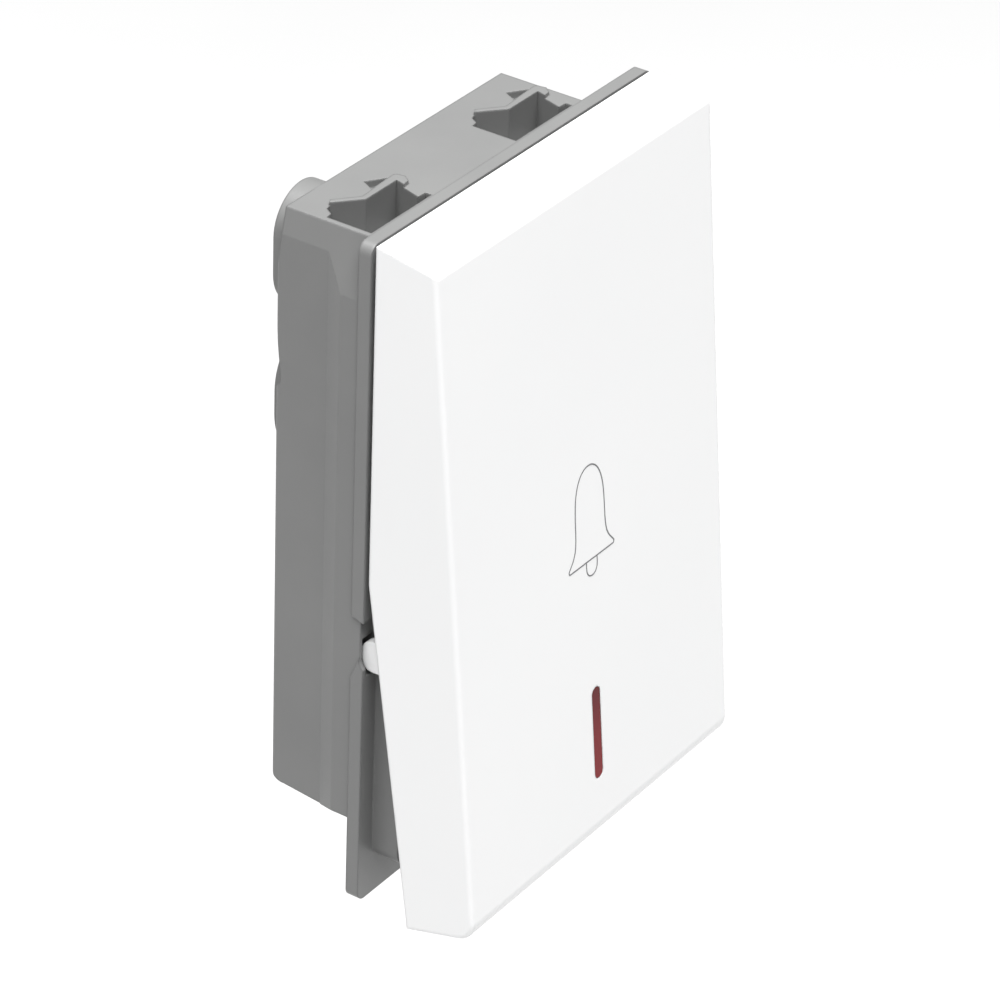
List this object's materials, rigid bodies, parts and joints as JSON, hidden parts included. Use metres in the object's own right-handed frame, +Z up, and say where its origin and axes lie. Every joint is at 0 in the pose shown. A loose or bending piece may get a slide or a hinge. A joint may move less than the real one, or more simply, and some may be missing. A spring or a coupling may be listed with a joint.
{
  "type": "doorbell push button",
  "caption": "Modular wall bell push: a tilting white key with a bell symbol and a lit slot in front of a grey clip-in contact body with screw terminals.",
  "frame": {"origin": "centre of the flange's front plane", "axes": "+X to the right seen by the person who rings, +Y into the wall, +Z up"},
  "size_m": [0.045, 0.0257, 0.0721],
  "materials": {
    "grey_body": "satin light grey moulding",
    "grey_cover": "satin grey moulding",
    "white_key": "glossy white moulding",
    "grey_carrier": "satin grey moulding",
    "red_lens": "dark red translucent moulding",
    "natural_plunger": "natural sliding plastic",
    "contact_brass": "stamped strip",
    "tip_silver": "silver-coloured contact rivet",
    "zinc_steel": "zinc plated",
    "spring_steel": "drawn wire",
    "clear_glass": "clear",
    "board_brown": "paper laminate",
    "resistor_coat": "lacquered",
    "holder_white": "moulded"
  },
  "bodies": {
    "base": {"body_frame": "grey_body", "rear_cover": "grey_cover", "contact_strip_left": "contact_brass", "contact_strip_right": "contact_brass", "fixed_contact_tips": "tip_silver", "terminal_screws": "zinc_steel", "terminal_nuts": "zinc_steel", "clamp_washers": "zinc_steel", "cover_screws": "zinc_steel", "lamp_board": "board_brown", "lamp_tube": "clear_glass", "lamp_electrodes": "zinc_steel", "lamp_holder": "holder_white", "lamp_resistor": "resistor_coat", "return_springs": "spring_steel", "contact_spring": "spring_steel", "lamp_contact_springs": "spring_steel"},
    "key": {"rocker_key": "white_key", "key_carrier": "grey_carrier", "indicator_lens": "red_lens"},
    "plunger_group": {"plunger": "natural_plunger", "contact_bridge": "contact_brass", "moving_contact_tips": "tip_silver"}
  },
  "joints": [
    {"name": "key_tilt", "type": "hinge", "parent": "base", "child": "key", "pos_m": [0, 0.0005, 0], "axis": [1, 0, 0], "range_deg": [0, 8], "stiffness_Nm_per_rad": 0.09, "springref_deg": -8.02, "deforming": ["return_springs"]},
    {"name": "plunger_slide", "type": "slide", "parent": "base", "child": "plunger_group", "axis": [0, 1, 0], "range_m": [0, 0.00126], "deforming": ["contact_spring"]}
  ],
  "couplings": [
    {"joint": "plunger_slide", "follows": "key_tilt", "m_per_rad": 0.00895}
  ]
}
